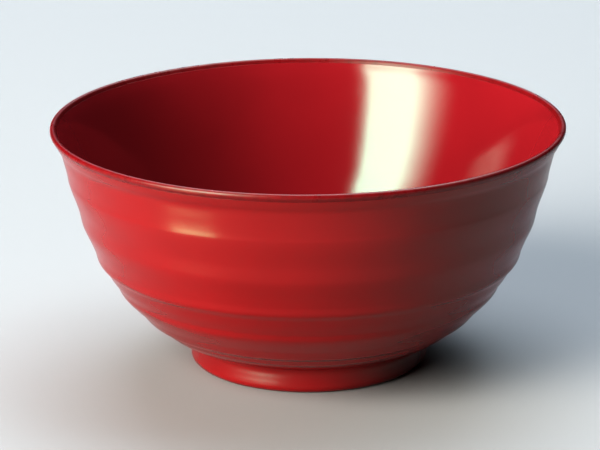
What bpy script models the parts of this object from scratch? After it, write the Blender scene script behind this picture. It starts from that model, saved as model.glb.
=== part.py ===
"""A red lacquered donburi bowl: a turned wooden body on a foot ring, under their coats of lacquer.

The bowl stands on its foot with its axis on +Z, and the origin is the centre of the plane it stands on.
Every piece is turned, so each one is an outline swept round the axis. Outlines are in millimetres, as
(radius, height), and each runs over the top of its piece, down its outer side and back underneath.
"""

import math

import bpy

MM = 0.001

# Driving dimensions, in millimetres.
RIM_RADIUS = 90.0  # to the outside of the lip
HEIGHT = 86.0
LIP_ROUND = 1.1  # radius of the bead along the lip
FOOT_RADIUS = 41.9
FOOT_ROUND = 2.2  # edge round on the outside of the foot
BORE_RADIUS = 36.6  # the hollow inside the foot
BORE_ROUND = 1.2
HOLLOW_DEPTH = 7.0
COAT = 0.35  # ground and lacquer together
BOND = 0.1  # room left between pieces that are bonded on the real bowl
SEAT_HEIGHT = 11.2  # the body's flat face that the foot ring is glued to

UNDER_LIP = 89.1, 83.3  # under the bead, where the outside coat ends
INNER_EDGE = 87.45, 84.58  # where the inside runs into the bead, and the inside coat ends
SHOULDER = 46.8, 10.7  # where the body's outside meets the fillet on top of the foot

SEGMENTS = 48
SAMPLES_PER_SPAN = 2

# The outside, from under the lip down to the foot. Below the flare of the lip, each turned ring has a steep
# face that ends in a ridge and a slack one that ends in a valley, and the rings get closer and sharper.
OUTSIDE = [
    UNDER_LIP,
    (88.45, 82.0),
    (87.75, 80.7),
    (87.0, 79.5),
    (86.4, 78.0),
    (85.5, 74.6),
    (84.9, 72.2),
    (84.4, 69.8),  # ridge
    (84.1, 67.8),
    (83.3, 65.1),
    (82.2, 62.0),  # valley
    (80.95, 58.3),
    (80.25, 55.4),  # ridge
    (79.65, 52.6),
    (78.8, 50.3),
    (77.0, 46.4),  # valley
    (75.4, 42.4),
    (74.5, 39.2),  # ridge
    (72.6, 36.9),
    (70.4, 33.4),  # valley
    (68.2, 30.3),
    (67.1, 27.9),  # ridge
    (65.2, 25.6),
    (61.5, 21.9),  # valley
    (59.7, 19.8),  # ridge
    (58.0, 18.0),
    (55.3, 16.6),  # valley
    (53.4, 14.6),  # ridge
    (50.4, 12.4),
    SHOULDER,
]

# The inside has no rings: one smooth curve from the middle of the floor, which runs on into the bead.
INSIDE = [
    (0.0, 15.0),
    (20.0, 15.6),
    (38.0, 18.4),
    (52.0, 24.4),
    (61.8, 32.6),
    (68.4, 42.2),
    (73.4, 52.6),
    (78.1, 64.0),
    (82.5, 74.6),
    (85.4, 81.0),
    INNER_EDGE,
]

LACQUER_RED = (0.47, 0.012, 0.016, 1.0)
BARE_WOOD = (0.42, 0.26, 0.13, 1.0)


def remove_objects():
    for obj in list(bpy.data.objects):
        bpy.data.objects.remove(obj, do_unlink=True)


def make_material(name, colour, roughness, coat_weight):
    material = bpy.data.materials.new(name)
    material.use_nodes = True
    shader = material.node_tree.nodes["Principled BSDF"]
    shader.inputs["Base Color"].default_value = colour
    shader.inputs["Roughness"].default_value = roughness
    shader.inputs["Metallic"].default_value = 0.0
    shader.inputs["Coat Weight"].default_value = coat_weight
    return material


def smooth_curve(points):
    """Points along a Catmull-Rom curve through every given point."""
    first = tuple(2 * a - b for a, b in zip(points[0], points[1]))
    last = tuple(2 * a - b for a, b in zip(points[-1], points[-2]))
    ring = [first, *points, last]
    curve = []
    for span in zip(ring, ring[1:], ring[2:], ring[3:]):
        for step in range(SAMPLES_PER_SPAN):
            t = step / SAMPLES_PER_SPAN
            curve.append(
                tuple(
                    b + 0.5 * t * (c - a + t * (2 * a - 5 * b + 4 * c - d + t * (3 * b - a - 3 * c + d)))
                    for a, b, c, d in zip(*span)
                )
            )
    return [*curve, points[-1]]


def arc(centre, radius, start, end, steps):
    """Points on an arc between two angles in degrees, where 0 is outwards and 90 is up."""
    angles = [math.radians(start + (end - start) * i / steps) for i in range(steps + 1)]
    return [(centre[0] + radius * math.cos(a), centre[1] + radius * math.sin(a)) for a in angles]


def sunk(outline, depth):
    """The outline moved into its material, which lies on the right of the way it runs."""
    sides = []
    for (r0, z0), (r1, z1) in zip(outline, outline[1:]):
        length = math.hypot(r1 - r0, z1 - z0)
        sides.append(((z1 - z0) / length, (r0 - r1) / length))
    moved = []
    for (radius, height), before, after in zip(outline, [sides[0], *sides], [*sides, sides[-1]]):
        # The mitre: both stretches that meet in this point end up sunk by the same depth.
        reach = depth / (1 + before[0] * after[0] + before[1] * after[1])
        inwards = reach * (before[0] + after[0]) if radius > 0 else 0.0
        moved.append((radius + inwards, height + reach * (before[1] + after[1])))
    return moved


def shortened(outline, by):
    """The outline with its last point drawn back along the last stretch."""
    (r0, z0), (r1, z1) = outline[-2:]
    share = by / math.hypot(r1 - r0, z1 - z0)
    return [*outline[:-1], (r1 + (r0 - r1) * share, z1 + (z0 - z1) * share)]


def split_at(outline, height):
    """The two parts of the outline, before and after it first drops past this height."""
    for i, ((r0, z0), (r1, z1)) in enumerate(zip(outline, outline[1:])):
        if z0 > height >= z1:
            cut = r0 + (r1 - r0) * (z0 - height) / (z0 - z1), height
            return [*outline[: i + 1], cut], [cut, *outline[i + 1 :]]
    raise ValueError(f"the outline doesn't reach down to {height}")


def with_free_ends(outline):
    """The outline drawn back at both ends, so that it stays clear of the coats that it meets."""
    backwards = shortened(outline[::-1], BOND / 2)
    return shortened(backwards[::-1], BOND / 2)


def turn(name, outline, material, collection):
    """A solid of revolution from an outline, which is closed unless it starts and ends on the axis."""
    edges = [(i, i + 1) for i in range(len(outline) - 1)]
    if outline[0][0] > 0:
        edges.append((len(outline) - 1, 0))
    mesh = bpy.data.meshes.new(name)
    mesh.from_pydata([(radius * MM, 0.0, height * MM) for radius, height in outline], edges, [])
    obj = bpy.data.objects.new(name, mesh)
    obj.data.materials.append(material)
    collection.objects.link(obj)
    screw = obj.modifiers.new("Turn", "SCREW")
    screw.axis = "Z"
    screw.steps = SEGMENTS
    screw.render_steps = SEGMENTS
    screw.use_merge_vertices = True
    screw.merge_threshold = 0.00001
    screw.use_smooth_shade = True
    return obj


def lip_face():
    """The bead of the lip, from its inner edge, over the top, to the flare under it."""
    centre = RIM_RADIUS - LIP_ROUND, HEIGHT - LIP_ROUND
    return [INNER_EDGE, *arc(centre, LIP_ROUND, 135, -45, 4), UNDER_LIP]


def foot_face():
    """The foot, from its fillet down a slightly flared side, across the land and up the bore."""
    side = smooth_curve([SHOULDER, (42.6, 9.2), (41.5, 8.0), (41.25, 7.0), (41.46, 5.2), (41.67, 3.6)])
    outer_round = arc((FOOT_RADIUS - FOOT_ROUND, FOOT_ROUND), FOOT_ROUND, 0, -90, 3)
    bore_round = arc((BORE_RADIUS + BORE_ROUND, BORE_ROUND), BORE_ROUND, -90, -180, 2)
    return [*side, *outer_round, *bore_round, (BORE_RADIUS, HOLLOW_DEPTH + COAT)]


def coat(name, face, material, collection):
    """A coat of lacquer: the face you see, and the same face sunk by the coat's thickness."""
    return turn(name, face + sunk(face, COAT)[::-1], material, collection)


def inside_coat(material, collection):
    face = shortened(smooth_curve(INSIDE), BOND / 2)
    return coat("inside_lacquer", face, material, collection)


def lip_coat(material, collection):
    return coat("lip_lacquer", with_free_ends(lip_face()), material, collection)


def outside_coat(material, collection):
    return coat("outside_lacquer", with_free_ends(OUTSIDE), material, collection)


def foot_coat(material, collection):
    return coat("foot_lacquer", with_free_ends(foot_face()), material, collection)


def underside_coat(material, collection):
    """The disc of lacquer in the foot's hollow, on the underside of the body."""
    edge = BORE_RADIUS - BOND
    outline = [
        (0.0, HOLLOW_DEPTH + COAT),
        (edge, HOLLOW_DEPTH + COAT),
        (edge, HOLLOW_DEPTH),
        (0.0, HOLLOW_DEPTH),
    ]
    return turn("underside_lacquer", outline, material, collection)


def wooden_body(material, collection):
    """The turned wood, from its floor up to the lip and down to the seat and spigot for the foot ring."""
    skin = smooth_curve(INSIDE)[:-1] + lip_face() + OUTSIDE[1:]
    wood, _ = split_at(sunk(skin, COAT + BOND), SEAT_HEIGHT)
    spigot = BORE_RADIUS + COAT
    bottom = HOLLOW_DEPTH + COAT + BOND
    outline = [*wood, (spigot, SEAT_HEIGHT), (spigot, bottom), (0.0, bottom)]
    return turn("wooden_body", outline, material, collection)


def foot_ring(material, collection):
    """The turned ring that fits round the body's spigot, against its seat."""
    top = SEAT_HEIGHT - BOND
    _, wood = split_at(sunk(foot_face(), COAT + BOND), top)
    outline = [*wood, (wood[-1][0], top)]
    return turn("foot_ring", outline, material, collection)


def main():
    remove_objects()
    bowl = bpy.data.collections.new("lacquered_bowl")
    bpy.context.scene.collection.children.link(bowl)

    wood = make_material("bare_wood", BARE_WOOD, roughness=0.6, coat_weight=0.0)
    gloss = make_material("gloss_lacquer", LACQUER_RED, roughness=0.06, coat_weight=1.0)
    satin = make_material("satin_lacquer", LACQUER_RED, roughness=0.32, coat_weight=0.3)

    wooden_body(wood, bowl)
    foot_ring(wood, bowl)
    inside_coat(gloss, bowl)
    lip_coat(gloss, bowl)
    outside_coat(satin, bowl)
    foot_coat(satin, bowl)
    underside_coat(satin, bowl)


main()
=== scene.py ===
"""A red lacquered donburi bowl on a pale table, lit by one tall soft light from the left.

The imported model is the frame. Every node is replaced by the same turned piece, with a smooth outline and
fine rings of faces. Outlines are in millimetres, as (radius, height), and each runs over the top of its
piece, down its outer side and back underneath. Everything else is in metres.
"""

import math

import bpy
from mathutils import Matrix, Vector


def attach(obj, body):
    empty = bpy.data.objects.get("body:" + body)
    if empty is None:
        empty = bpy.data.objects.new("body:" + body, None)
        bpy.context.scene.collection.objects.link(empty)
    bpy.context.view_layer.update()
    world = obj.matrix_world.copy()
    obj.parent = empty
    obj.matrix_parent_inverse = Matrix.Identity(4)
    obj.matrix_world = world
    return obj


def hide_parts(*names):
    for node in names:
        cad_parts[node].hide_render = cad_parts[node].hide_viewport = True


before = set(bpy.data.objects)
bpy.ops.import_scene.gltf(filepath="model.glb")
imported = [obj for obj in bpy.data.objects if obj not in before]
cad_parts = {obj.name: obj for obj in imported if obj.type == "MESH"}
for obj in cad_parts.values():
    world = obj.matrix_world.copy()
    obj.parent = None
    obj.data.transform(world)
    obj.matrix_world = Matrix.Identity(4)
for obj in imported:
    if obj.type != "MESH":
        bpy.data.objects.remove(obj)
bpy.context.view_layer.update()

MM = 0.001

# The bowl, in millimetres.
RIM_RADIUS = 90.0
HEIGHT = 86.0
LIP_ROUND = 1.1  # radius of the bead along the lip
FOOT_RADIUS = 41.9
FOOT_ROUND = 2.2  # edge round on the outside of the foot
BORE_RADIUS = 36.6  # the hollow inside the foot
BORE_ROUND = 1.2
HOLLOW_DEPTH = 7.0
COAT = 0.35  # thickness of the lacquer
JOIN = 0.02  # room between coats that meet
BOND = 0.1  # room behind the coats, for the glue and the ground
HOLD = 0.04  # how close to a corner the extra point lies that keeps it crisp
SEAT_HEIGHT = 11.2  # the body's flat face that the foot ring is glued to

UNDER_LIP = 89.1, 83.3  # under the bead, where the outside coat ends
INNER_EDGE = 87.45, 84.58  # where the inside runs into the bead, and the inside coat ends
SHOULDER = 46.8, 10.7  # where the body's outside meets the fillet on top of the foot

# The angles on the bead where it meets the inside and the outside, from level outwards and up.
BEAD_STARTS, BEAD_ENDS = 150, -35
# The angle where the foot's outer round takes over from its slightly flared side.
FOOT_ROUND_STARTS = 6

# From under the lip down to the foot: the flare of the lip and then the six turned rings.
OUTSIDE = [
    UNDER_LIP,
    (88.45, 82.0),
    (87.75, 80.7),
    (87.0, 79.5),
    (86.4, 78.0),
    (85.5, 74.6),
    (84.9, 72.2),
    (84.4, 69.8),  # ridge
    (84.1, 67.8),
    (83.3, 65.1),
    (82.2, 62.0),  # valley
    (80.95, 58.3),
    (80.25, 55.4),  # ridge
    (79.65, 52.6),
    (78.8, 50.3),
    (77.0, 46.4),  # valley
    (75.4, 42.4),
    (74.5, 39.2),  # ridge
    (72.6, 36.9),
    (70.4, 33.4),  # valley
    (68.2, 30.3),
    (67.1, 27.9),  # ridge
    (65.2, 25.6),
    (61.5, 21.9),  # valley
    (59.7, 19.8),  # ridge
    (58.0, 18.0),
    (55.3, 16.6),  # valley
    (53.4, 14.6),  # ridge
    (50.4, 12.4),
    SHOULDER,
]

# From the middle of the floor up to the bead.
INSIDE = [
    (0.0, 15.0),
    (20.0, 15.6),
    (38.0, 18.4),
    (52.0, 24.4),
    (61.8, 32.6),
    (68.4, 42.2),
    (73.4, 52.6),
    (78.1, 64.0),
    (82.5, 74.6),
    (85.4, 81.0),
    INNER_EDGE,
]

# The foot's fillet and side, down to its outer round.
FOOT_SIDE = [SHOULDER, (42.6, 9.2), (41.5, 8.0), (41.25, 7.0), (41.46, 5.2), (41.67, 3.6)]

RING_STEPS = 256
SAMPLES_PER_SPAN = 6
MERGE_DISTANCE = 0.000001


# ---------------------------------------------------------------- outlines


def smooth_curve(points):
    """Points along a Catmull-Rom curve through every given point."""
    first = tuple(2 * a - b for a, b in zip(points[0], points[1]))
    last = tuple(2 * a - b for a, b in zip(points[-1], points[-2]))
    ring = [first, *points, last]
    curve = []
    for span in zip(ring, ring[1:], ring[2:], ring[3:]):
        for step in range(SAMPLES_PER_SPAN):
            t = step / SAMPLES_PER_SPAN
            curve.append(
                tuple(
                    b + 0.5 * t * (c - a + t * (2 * a - 5 * b + 4 * c - d + t * (3 * b - a - 3 * c + d)))
                    for a, b, c, d in zip(*span)
                )
            )
    return [*curve, points[-1]]


def arc(centre, radius, start, end, steps):
    """Points on an arc between two angles in degrees, where 0 is outwards and 90 is up."""
    angles = [math.radians(start + (end - start) * i / steps) for i in range(steps + 1)]
    return [(centre[0] + radius * math.cos(a), centre[1] + radius * math.sin(a)) for a in angles]


def sunk(outline, depth):
    """The outline moved into its material, which lies on the right of the way it runs."""
    sides = []
    for (r0, z0), (r1, z1) in zip(outline, outline[1:]):
        length = math.hypot(r1 - r0, z1 - z0)
        sides.append(((z1 - z0) / length, (r0 - r1) / length))
    moved = []
    # The mitre: both stretches that meet in a point end up sunk by the same depth.
    for (radius, height), before, after in zip(outline, [sides[0], *sides], [*sides, sides[-1]]):
        reach = depth / (1 + before[0] * after[0] + before[1] * after[1])
        inwards = reach * (before[0] + after[0]) if radius > 0 else 0.0
        moved.append((radius + inwards, height + reach * (before[1] + after[1])))
    return moved


def shortened(outline, by):
    """The outline with its last point drawn back along the last stretch."""
    (r0, z0), (r1, z1) = outline[-2:]
    share = by / math.hypot(r1 - r0, z1 - z0)
    return [*outline[:-1], (r1 + (r0 - r1) * share, z1 + (z0 - z1) * share)]


def with_free_end(outline):
    """The outline drawn back at its end, with a point close before the end that keeps its corner crisp."""
    drawn_back = shortened(outline, JOIN / 2)
    return [*shortened(drawn_back, HOLD), drawn_back[-1]]


def with_free_ends(outline):
    """The outline drawn back in the same way at both of its ends."""
    return with_free_end(with_free_end(outline[::-1])[::-1])


def split_at(outline, height):
    """The two parts of the outline, before and after it first drops past this height."""
    for i, ((r0, z0), (r1, z1)) in enumerate(zip(outline, outline[1:])):
        if z0 > height >= z1:
            cut = r0 + (r1 - r0) * (z0 - height) / (z0 - z1), height
            return [*outline[: i + 1], cut], [cut, *outline[i + 1 :]]
    raise ValueError(f"the outline doesn't reach down to {height}")


def lip_face():
    """The bead of the lip, from its inner edge, over the top, to the flare under it."""
    centre = RIM_RADIUS - LIP_ROUND, HEIGHT - LIP_ROUND
    return [INNER_EDGE, *arc(centre, LIP_ROUND, BEAD_STARTS, BEAD_ENDS, 20), UNDER_LIP]


def foot_face():
    """The foot, from its fillet down a slightly flared side, across the land and up the bore."""
    side = smooth_curve(FOOT_SIDE)
    outer_centre = FOOT_RADIUS - FOOT_ROUND, FOOT_ROUND
    outer_round = arc(outer_centre, FOOT_ROUND, FOOT_ROUND_STARTS, -90, 12)
    bore_round = arc((BORE_RADIUS + BORE_ROUND, BORE_ROUND), BORE_ROUND, -90, -180, 8)
    return [*side[:-1], *outer_round, *bore_round, (BORE_RADIUS, HOLLOW_DEPTH + COAT)]


# ---------------------------------------------------------------- pieces


def turn(name, outline, material, node):
    """A solid of revolution that stands for a node. It closes an outline that doesn't start on the axis."""
    edges = [(i, i + 1) for i in range(len(outline) - 1)]
    if outline[0][0] > 0:
        edges.append((len(outline) - 1, 0))
    mesh = bpy.data.meshes.new(name)
    mesh.from_pydata([(radius * MM, 0.0, height * MM) for radius, height in outline], edges, [])
    obj = bpy.data.objects.new(name, mesh)
    obj.data.materials.append(material)
    bpy.context.scene.collection.objects.link(obj)
    screw = obj.modifiers.new("Turn", "SCREW")
    screw.axis = "Z"
    screw.steps = RING_STEPS
    screw.render_steps = RING_STEPS
    screw.use_merge_vertices = True
    screw.merge_threshold = MERGE_DISTANCE
    screw.use_smooth_shade = True
    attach(obj, "root")
    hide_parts(node)


def coat(name, face, material, node):
    """A coat of lacquer: the face you see, and the same face sunk by the coat's thickness."""
    turn(name, face + sunk(face, COAT)[::-1], material, node)


def hollow_disc(material):
    """The disc of lacquer in the foot's hollow, on the underside of the body."""
    edge = BORE_RADIUS - JOIN
    outline = [
        (0.0, HOLLOW_DEPTH + COAT),
        (edge - HOLD, HOLLOW_DEPTH + COAT),
        (edge, HOLLOW_DEPTH + COAT),
        (edge, HOLLOW_DEPTH),
        (edge - HOLD, HOLLOW_DEPTH),
        (0.0, HOLLOW_DEPTH),
    ]
    turn("hollow_disc", outline, material, "underside_lacquer")


def turned_body(inside, outside, material):
    """The turned wood, from its floor up to the lip and down to the seat and spigot for the foot ring."""
    skin = inside[:-1] + lip_face() + outside[1:]
    body, _ = split_at(sunk(skin, COAT + BOND), SEAT_HEIGHT)
    spigot = BORE_RADIUS + COAT
    bottom = HOLLOW_DEPTH + COAT + BOND
    outline = [*body, (spigot, SEAT_HEIGHT), (spigot, bottom), (0.0, bottom)]
    turn("turned_body", outline, material, "wooden_body")


def turned_foot(material):
    """The turned ring that fits round the body's spigot, against its seat."""
    top = SEAT_HEIGHT - BOND
    _, ring = split_at(sunk(foot_face(), COAT + BOND), top)
    turn("turned_foot", [*ring, (ring[-1][0], top)], material, "foot_ring")


def make_pieces():
    wood = wood_material()
    gloss = gloss_lacquer()
    lip = lip_lacquer()
    satin = satin_lacquer()

    inside = smooth_curve(INSIDE)
    outside = smooth_curve(OUTSIDE)
    coat("inside_face", with_free_end(inside), gloss, "inside_lacquer")
    coat("lip_bead", with_free_ends(lip_face()), lip, "lip_lacquer")
    coat("ringed_wall", with_free_ends(outside), satin, "outside_lacquer")
    coat("foot_face", with_free_ends(foot_face()), satin, "foot_lacquer")
    hollow_disc(satin)
    turned_body(inside, outside, wood)
    turned_foot(wood)


# ---------------------------------------------------------------- materials

LACQUER_IOR = 1.53
WORN_LACQUER_IOR = 1.40
HIGHLIGHT_TINT = (0.45, 1.0, 0.84, 1.0)  # less red, so that highlights over the red turn orange, not pink

INSIDE_RED = (0.20, 0.0105, 0.0155)
# darker than the inside red: painted shade, for the dark edge along the rim
LIP_RED_WITH_PAINTED_SHADE = (0.15, 0.005, 0.008)
OUTSIDE_RED = (0.19, 0.0025, 0.005)
UNDERCOAT = (0.022, 0.006, 0.004)  # shows where the lip and the foot are rubbed

CLOUD_SIZE = 45 * MM
CLOUD_SHADE = 0.07  # how much lighter or darker the clouds are, as a share
HANDLED_SIZE = 9 * MM  # patches that use has left a little duller or glossier
PEEL_SIZE = 3.5 * MM
WHEEL_RING_SIZE = 1.6 * MM
LIP_WEAR_SIZE = 2.5 * MM
LIP_WEAR = 0.35  # the most that the undercoat shows through
LAND_WEAR_SIZE = 4 * MM
LAND_WEAR_HEIGHT = 0.45 * MM  # wear starts here and is full at half this height
LAND_DULLNESS = 0.35

PALE_WOOD = (0.50, 0.33, 0.18)
DARK_WOOD = (0.30, 0.165, 0.075)
TREE_CENTRE = Vector((0.02, 0.31, -0.09))  # the blank is a block from beside the heart of the tree
YEAR_RING = 3.2 * MM
YEAR_WOBBLE_SIZE = 30 * MM
FIBRE_SIZE = 0.6 * MM
FIBRE_SQUEEZE = (0.04, 1.0, 1.0)  # fibres run along X, 25 times as long as they are wide
LATHE_RING_SIZE = 0.8 * MM


def add(tree, kind, inputs=None, **settings):
    """A new node with its settings, whose inputs are given as values or as other nodes' outputs."""
    node = tree.nodes.new("ShaderNode" + kind)
    for name, value in settings.items():
        setattr(node, name, value)
    for socket, value in (inputs or {}).items():
        if isinstance(value, bpy.types.NodeSocket):
            tree.links.new(value, node.inputs[socket])
        else:
            node.inputs[socket].default_value = value
    return node


def new_material(name):
    """A new material, its node tree and its shader."""
    material = bpy.data.materials.new(name)
    material.use_nodes = True
    return material, material.node_tree, material.node_tree.nodes["Principled BSDF"]


def noise(tree, place, size, detail=2.0):
    """Soft noise from 0 to 1, whose blotches are about this many metres across."""
    inputs = {"Vector": place, "Scale": 1 / size, "Detail": detail, "Roughness": 0.5}
    texture = add(tree, "TexNoise", inputs)
    return texture.outputs["Fac"]


def scaled(tree, value, low, high, start=0.3, end=0.7):
    """A value remapped from between start and end to between low and high."""
    inputs = {"Value": value, "From Min": start, "From Max": end, "To Min": low, "To Max": high}
    return add(tree, "MapRange", inputs).outputs["Result"]


def blended(tree, amount, first, second):
    """The first colour turning into the second as the amount goes from 0 to 1."""
    node = add(tree, "Mix", {"Factor": amount}, data_type="RGBA")
    for socket, colour in (("A", first), ("B", second)):
        if isinstance(colour, bpy.types.NodeSocket):
            tree.links.new(colour, node.inputs[socket])
        else:
            node.inputs[socket].default_value = (*colour, 1.0)
    return node.outputs["Result"]


def raised(tree, height, depth, normal=None):
    """A bumped normal, where a height from 0 to 1 stands for this many metres."""
    inputs = {"Height": height, "Distance": depth, "Strength": 1.0}
    if normal is not None:
        inputs["Normal"] = normal
    return add(tree, "Bump", inputs).outputs["Normal"]


def object_place(tree):
    return add(tree, "TexCoord").outputs["Object"]


def turning_place(tree, place):
    """A place that is the same all the way round the axis, for the marks of the lathe and the wheel."""
    axes = add(tree, "SeparateXYZ", {"Vector": place})
    level = add(tree, "CombineXYZ", {"X": axes.outputs["X"], "Y": axes.outputs["Y"]})
    radius = add(tree, "VectorMath", {0: level.outputs["Vector"]}, operation="LENGTH").outputs["Value"]
    return add(tree, "CombineXYZ", {"X": radius, "Y": axes.outputs["Z"]}).outputs["Vector"]


def lacquer(name, red, roughness, spread, peel_depth, ring_depth):
    """Lacquer over turned wood: a little clouded, with the faint skin of a flowed coat and wheel rings."""
    material, tree, shader = new_material(name)
    place = object_place(tree)

    clouds = scaled(tree, noise(tree, place, CLOUD_SIZE, 3.0), 0.0, 1.0)
    deep = tuple((1 - CLOUD_SHADE) * c for c in red)
    light = tuple((1 + CLOUD_SHADE) * c for c in red)
    colour = blended(tree, clouds, deep, light)

    patches = noise(tree, place, HANDLED_SIZE, 4.0)
    handled = scaled(tree, patches, roughness - spread, roughness + spread)
    peel = raised(tree, noise(tree, place, PEEL_SIZE), peel_depth)
    rings = raised(tree, noise(tree, turning_place(tree, place), WHEEL_RING_SIZE, 3.0), ring_depth, peel)

    tree.links.new(colour, shader.inputs["Base Color"])
    tree.links.new(handled, shader.inputs["Roughness"])
    tree.links.new(rings, shader.inputs["Normal"])
    shader.inputs["IOR"].default_value = LACQUER_IOR
    shader.inputs["Specular Tint"].default_value = HIGHLIGHT_TINT
    return material, tree, shader


def gloss_lacquer():
    """The inside: the smoothest coat, flowed out to a mirror."""
    material, _, _ = lacquer("gloss_lacquer", INSIDE_RED, 0.10, 0.012, 0.010 * MM, 0.0012 * MM)
    return material


def lip_lacquer():
    """The bead, rubbed by hands and mouths: duller, its red worn thin over the dark undercoat in patches,
    and the red itself darker than the inside's as painted shade along the rim.
    """
    material, tree, shader = lacquer("lip_lacquer", LIP_RED_WITH_PAINTED_SHADE, 0.30, 0.05, 0.012 * MM, 0.002 * MM)
    patches = noise(tree, object_place(tree), LIP_WEAR_SIZE, 5.0)
    thin = scaled(tree, patches, 0.0, LIP_WEAR, 0.45, 0.75)
    tree.links.new(blended(tree, thin, LIP_RED_WITH_PAINTED_SHADE, UNDERCOAT), shader.inputs["Base Color"])
    shader.inputs["IOR"].default_value = WORN_LACQUER_IOR
    return material


def satin_lacquer():
    """The outside and the foot: rings from the wheel can just be seen, and the foot's land is rubbed."""
    material, tree, shader = lacquer("satin_lacquer", OUTSIDE_RED, 0.22, 0.025, 0.012 * MM, 0.003 * MM)
    colour = shader.inputs["Base Color"].links[0].from_socket
    roughness = shader.inputs["Roughness"].links[0].from_socket
    place = object_place(tree)
    height = add(tree, "SeparateXYZ", {"Vector": place}).outputs["Z"]
    near_table = scaled(tree, height, 1.0, 0.0, 0.5 * LAND_WEAR_HEIGHT, LAND_WEAR_HEIGHT)
    patches = scaled(tree, noise(tree, place, LAND_WEAR_SIZE, 5.0), 0.25, 1.0, 0.40, 0.62)
    worn = add(tree, "Math", {0: near_table, 1: patches}, operation="MULTIPLY").outputs[0]
    tree.links.new(blended(tree, worn, colour, UNDERCOAT), shader.inputs["Base Color"])
    duller = {0: worn, 1: LAND_DULLNESS, 2: roughness}
    rubbed = add(tree, "Math", duller, operation="MULTIPLY_ADD").outputs[0]
    tree.links.new(rubbed, shader.inputs["Roughness"])
    return material


def wood_material():
    """Bare wood under the lacquer, cut across the year rings of the tree, with marks from the lathe."""
    material, tree, shader = new_material("bare_wood")
    place = object_place(tree)
    from_heart = add(tree, "VectorMath", {0: place, 1: TREE_CENTRE}, operation="SUBTRACT").outputs["Vector"]
    squeezed = {0: from_heart, 1: FIBRE_SQUEEZE}
    across = add(tree, "VectorMath", squeezed, operation="MULTIPLY").outputs["Vector"]
    distance = add(tree, "VectorMath", {0: across}, operation="LENGTH").outputs["Value"]
    wobble = {0: noise(tree, across, YEAR_WOBBLE_SIZE), 1: 3 * YEAR_RING, 2: distance}
    wavering = add(tree, "Math", wobble, operation="MULTIPLY_ADD").outputs[0]
    years = add(tree, "Math", {0: wavering, 1: YEAR_RING}, operation="DIVIDE").outputs[0]
    season = add(tree, "Math", {0: years}, operation="FRACT").outputs[0]
    fibres = noise(tree, across, FIBRE_SIZE, 4.0)
    late_wood = scaled(tree, season, 0.0, 1.0, 0.35, 0.95)
    grain = blended(tree, late_wood, PALE_WOOD, DARK_WOOD)
    streaks = scaled(tree, fibres, 0.0, 0.45)
    tree.links.new(blended(tree, streaks, grain, DARK_WOOD), shader.inputs["Base Color"])
    tree.links.new(scaled(tree, fibres, 0.52, 0.74), shader.inputs["Roughness"])
    cut = raised(tree, noise(tree, turning_place(tree, place), LATHE_RING_SIZE), 0.02 * MM)
    tree.links.new(raised(tree, fibres, 0.03 * MM, cut), shader.inputs["Normal"])
    return material


# ---------------------------------------------------------------- the table, the light and the camera

AXIS_DISTANCE = 1.15  # from the camera to the point it looks at
ELEVATION = 17.3
AIM = Vector((-0.002955, 0.0, 0.04805))
ROLL = 0.337
LENS = 195.6

# The key light is a tall diffusing sheet to the front left of the bowl. It is brightest in a strip and fades
# to both sides and upwards. Across the sheet, positive is towards the camera.
KEY_AZIMUTH = -45.0
KEY_DISTANCE = 2.1
KEY_FAR, KEY_NEAR = -1.8, 0.84
KEY_STRIP_FAR, KEY_STRIP_NEAR = -0.54, 0.375
KEY_TOP = 3.4
KEY_FADES_ABOVE = 1.9
KEY_FAR_POWER, KEY_NEAR_POWER, KEY_TOP_POWER = 2.7, 3.4, 1.0  # above 1, the light falls off sooner
KEY_RADIANCE = 25.0
KEY_COLOUR = (1.0, 0.97, 0.90)

# The square fill lights face the bowl: name, centre, size, radiance, colour.
FILLS = [
    ("over", Vector((0.1, 1.3, 3.0)), 2.9, 5.1, (0.93, 1.0, 1.1)),
    ("back", Vector((0.0, 2.3, 2.3)), 2.4, 2.6, (0.80, 0.95, 1.1)),
    ("right", Vector((1.5, 0.4, 2.9)), 2.0, 2.6, (0.75, 1.0, 1.08)),
]

CARD_AZIMUTH = -46
CARD_DISTANCE = 0.215
CARD_WIDTH, CARD_LENGTH = 0.06, 0.09
CARD_RADIANCE = 9.0
CARD_COLOUR = (0.9, 1.0, 0.62)

TABLE_HALF = 4.0
TABLE_GREY = (0.295, 0.295, 0.295, 1.0)
TABLE_ROUGHNESS = 0.8
AMBIENT = (0.003, 0.004, 0.0045, 1.0)
BACKDROP = (0.80, 0.86, 0.90, 1.0)
VIEW_GAMMA = 0.75  # deepens the darks


def make_table():
    half = TABLE_HALF
    corners = [(-half, -half, 0), (half, -half, 0), (half, half, 0), (-half, half, 0)]
    mesh = bpy.data.meshes.new("table")
    mesh.from_pydata(corners, [], [(0, 1, 2, 3)])
    table = bpy.data.objects.new("table", mesh)
    bpy.context.scene.collection.objects.link(table)
    material, _, shader = new_material("table_paper")
    shader.inputs["Base Color"].default_value = TABLE_GREY
    shader.inputs["Roughness"].default_value = TABLE_ROUGHNESS
    table.data.materials.append(material)


def outwards(azimuth):
    """The level direction from the bowl towards an azimuth: 0 is towards the camera and 90 to the right."""
    a = math.radians(azimuth)
    return Vector((math.sin(a), -math.cos(a), 0.0))


def rectangle_light(name, centre, facing, size, radiance, colour, upright):
    """A rectangle that shines towards a direction, with its second side as near upright as it can be."""
    width, height = size
    light = bpy.data.lights.new(name, "AREA")
    light.shape = "RECTANGLE"
    light.size = width
    light.size_y = height
    light.energy = radiance * math.pi * width * height
    light.color = colour
    obj = bpy.data.objects.new(name, light)
    bpy.context.scene.collection.objects.link(obj)
    back = -facing.normalized()
    right = upright.cross(back).normalized()
    up = back.cross(right)
    obj.matrix_world = Matrix.Translation(centre) @ Matrix((right, up, back)).transposed().to_4x4()
    obj.visible_camera = False
    return obj


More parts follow.
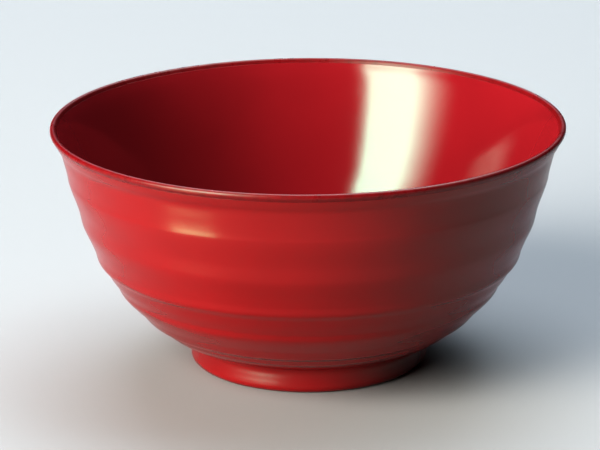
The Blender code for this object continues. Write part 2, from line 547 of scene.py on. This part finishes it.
def fade_key(light):
    """Gives the sheet its strip: full between the strip's edges, fading to nothing at the sheet's edges."""
    light.use_nodes = True
    tree = light.node_tree
    place = tree.nodes.new("ShaderNodeNewGeometry")
    axes = tree.nodes.new("ShaderNodeSeparateXYZ")
    tree.links.new(place.outputs["Parametric"], axes.inputs["Vector"])
    width = KEY_NEAR - KEY_FAR
    fades = [
        ("X", 0.0, (KEY_STRIP_FAR - KEY_FAR) / width, KEY_FAR_POWER),
        ("X", 1.0, (KEY_STRIP_NEAR - KEY_FAR) / width, KEY_NEAR_POWER),
        ("Y", 1.0, KEY_FADES_ABOVE / KEY_TOP, KEY_TOP_POWER),
    ]
    strength = None
    for axis, nothing_at, full_at, power in fades:
        ramp = tree.nodes.new("ShaderNodeMapRange")
        ramp.inputs["From Min"].default_value = nothing_at
        ramp.inputs["From Max"].default_value = full_at
        tree.links.new(axes.outputs[axis], ramp.inputs["Value"])
        curve = tree.nodes.new("ShaderNodeMath")
        curve.operation = "POWER"
        curve.inputs[1].default_value = power
        tree.links.new(ramp.outputs["Result"], curve.inputs[0])
        if strength is None:
            strength = curve.outputs[0]
            continue
        both = tree.nodes.new("ShaderNodeMath")
        both.operation = "MULTIPLY"
        tree.links.new(strength, both.inputs[0])
        tree.links.new(curve.outputs[0], both.inputs[1])
        strength = both.outputs[0]
    tree.links.new(strength, tree.nodes["Emission"].inputs["Strength"])


def make_key_light():
    towards = outwards(KEY_AZIMUTH)
    side = outwards(KEY_AZIMUTH + 90)
    centre = towards * KEY_DISTANCE + side * (KEY_FAR + KEY_NEAR) / 2
    centre.z = KEY_TOP / 2
    size = KEY_NEAR - KEY_FAR, KEY_TOP
    key = rectangle_light("key", centre, -towards, size, KEY_RADIANCE, KEY_COLOUR, Vector((0, 0, 1)))
    fade_key(key.data)


def make_fill_lights():
    for name, centre, side, radiance, colour in FILLS:
        rectangle_light(name, centre, -centre, (side, side), radiance, colour, Vector((0, 1, 0)))


def make_card():
    """A bright card that lies on the table just out of the picture and shows in the upper ridges."""
    away = outwards(CARD_AZIMUTH)
    centre = away * CARD_DISTANCE
    centre.z = 0.001
    size = CARD_WIDTH, CARD_LENGTH
    rectangle_light("card", centre, Vector((0, 0, 1)), size, CARD_RADIANCE, CARD_COLOUR, away)


def make_world():
    """A dark studio, with a pale backdrop that only the camera sees."""
    world = bpy.data.worlds.new("studio")
    bpy.context.scene.world = world
    world.use_nodes = True
    tree = world.node_tree
    rays = tree.nodes.new("ShaderNodeLightPath")
    seen = tree.nodes.new("ShaderNodeMix")
    seen.data_type = "RGBA"
    seen.inputs["A"].default_value = AMBIENT
    seen.inputs["B"].default_value = BACKDROP
    tree.links.new(rays.outputs["Is Camera Ray"], seen.inputs["Factor"])
    tree.links.new(seen.outputs["Result"], tree.nodes["Background"].inputs["Color"])


def make_camera():
    elevation = math.radians(ELEVATION)
    back = Vector((0.0, -math.cos(elevation), math.sin(elevation)))
    data = bpy.data.cameras.new("camera")
    data.sensor_width = 36.0
    data.lens = LENS
    data.clip_start = 0.05
    data.clip_end = 100.0
    camera = bpy.data.objects.new("camera", data)
    bpy.context.scene.collection.objects.link(camera)
    turn_to = back.to_track_quat("Z", "Y").to_matrix() @ Matrix.Rotation(math.radians(-ROLL), 3, "Z")
    camera.matrix_world = Matrix.Translation(AIM + back * AXIS_DISTANCE) @ turn_to.to_4x4()
    bpy.context.scene.camera = camera


def main():
    make_pieces()
    make_table()
    make_key_light()
    make_fill_lights()
    make_card()
    make_world()
    make_camera()
    bpy.context.scene.view_settings.view_transform = "Standard"
    bpy.context.scene.view_settings.gamma = VIEW_GAMMA


main()
